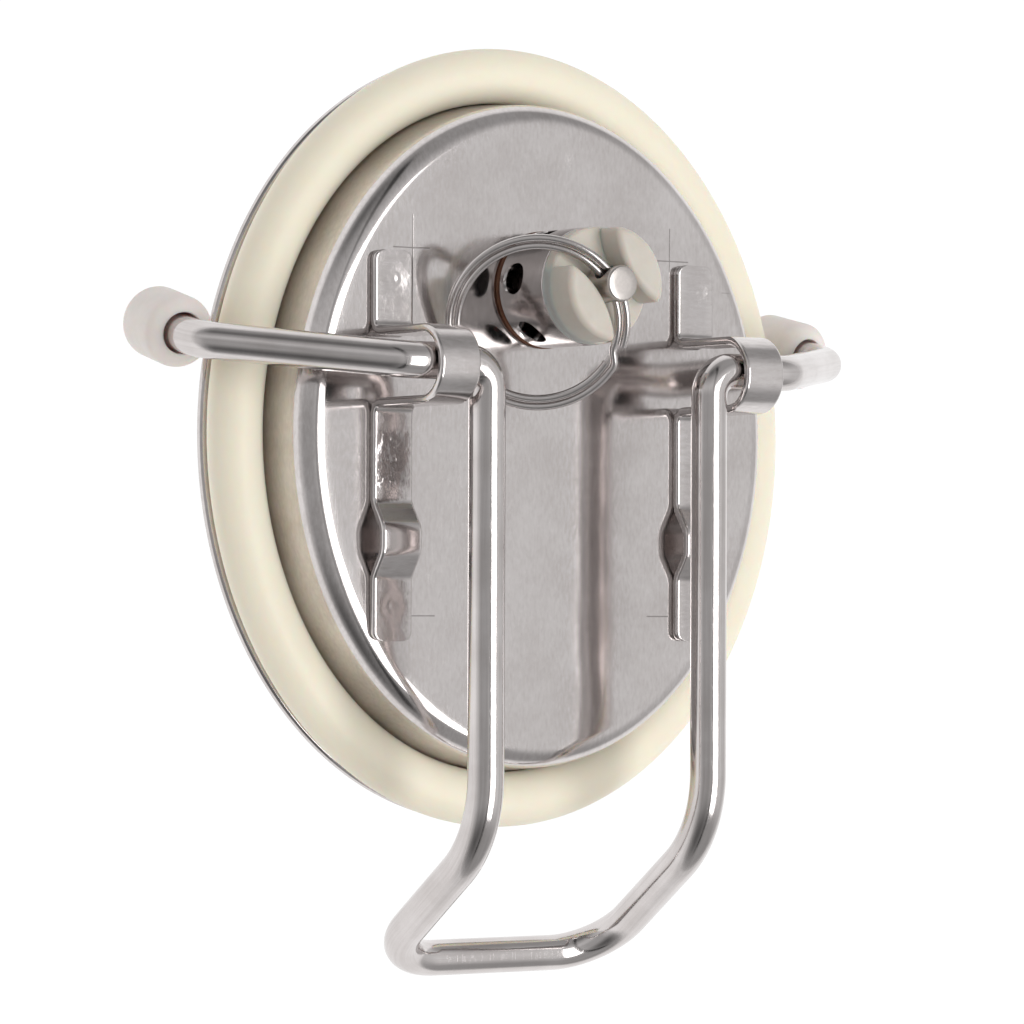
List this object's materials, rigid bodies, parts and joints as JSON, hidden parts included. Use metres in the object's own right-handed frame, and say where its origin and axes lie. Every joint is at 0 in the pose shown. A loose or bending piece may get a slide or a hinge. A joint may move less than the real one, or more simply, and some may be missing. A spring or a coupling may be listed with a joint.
{
  "type": "keg hatch lid",
  "caption": "Oval stainless keg hatch lid with a seal ring, a bent-wire bail lever with rubber feet, and a pull-ring relief valve.",
  "frame": {"origin": "middle of the lid's flat outer face", "axes": "+Z out of the keg, square to the lid's outer face; +Y along the long axis, from the lever's grip towards the relief valve; +X to the right when the lid is seen from outside with the valve end up"},
  "size_m": [0.11, 0.1234, 0.0363],
  "materials": {
    "stainless": "polished",
    "spring_steel": "satin",
    "seal_rubber": "satin",
    "foot_rubber": "matte",
    "cap_plastic": "matte",
    "gasket_rubber": "matte",
    "poppet_rubber": "matte"
  },
  "bodies": {
    "lid": {"lid_shell": "stainless", "lid_seal_ring": "seal_rubber", "left_bracket": "stainless", "right_bracket": "stainless", "valve_bung": "stainless", "valve_gasket": "gasket_rubber", "valve_body": "stainless", "valve_cap": "cap_plastic", "spring_washer": "stainless", "valve_spring": "spring_steel"},
    "bail": {"bail_lever": "stainless", "left_foot": "foot_rubber", "right_foot": "foot_rubber"},
    "stem": {"valve_stem": "stainless", "poppet_disc": "stainless", "poppet_seal": "poppet_rubber", "stem_retainer": "stainless"},
    "ring": {"pull_ring": "spring_steel"}
  },
  "joints": [
    {"name": "bail_pivot", "type": "hinge", "parent": "lid", "child": "bail", "pos_m": [0, 0.0086, 0.0128], "axis": [-1, 0, 0], "range_deg": [0, 150]},
    {"name": "valve_lift", "type": "slide", "parent": "lid", "child": "stem", "axis": [0, 0, 1], "range_m": [0, 0.003], "stiffness_N_per_m": 2500, "springref_m": -0.0065, "deforming": ["valve_spring"]},
    {"name": "ring_swing", "type": "hinge", "parent": "stem", "child": "ring", "pos_m": [0, 0.0192, 0.01555], "axis": [-0.5807, 0.8141, 0], "range_deg": [0, 10]}
  ]
}
